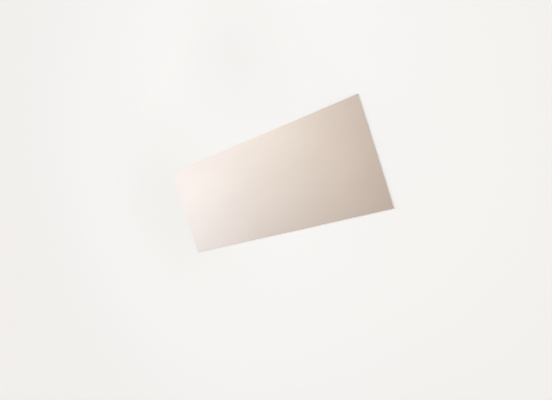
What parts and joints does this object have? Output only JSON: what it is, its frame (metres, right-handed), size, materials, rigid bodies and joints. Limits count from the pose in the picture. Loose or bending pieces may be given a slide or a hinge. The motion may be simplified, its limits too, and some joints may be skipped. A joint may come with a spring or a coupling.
{
  "type": "drywall sheet",
  "caption": "Flat paper-faced gypsum wall sheet with tapered long edges, face paper folded round them on to the back, and square-cut ends.",
  "frame": {"origin": "middle of the back face, on the surface that the sheet rests on", "axes": "+X along the length, +Y across the width, +Z out of the face"},
  "size_m": [3.6576, 1.3716, 0.0127],
  "materials": {
    "face_paper": "matte"
  },
  "bodies": {
    "root": {"drywall_sheet": "face_paper"}
  },
  "joints": []
}
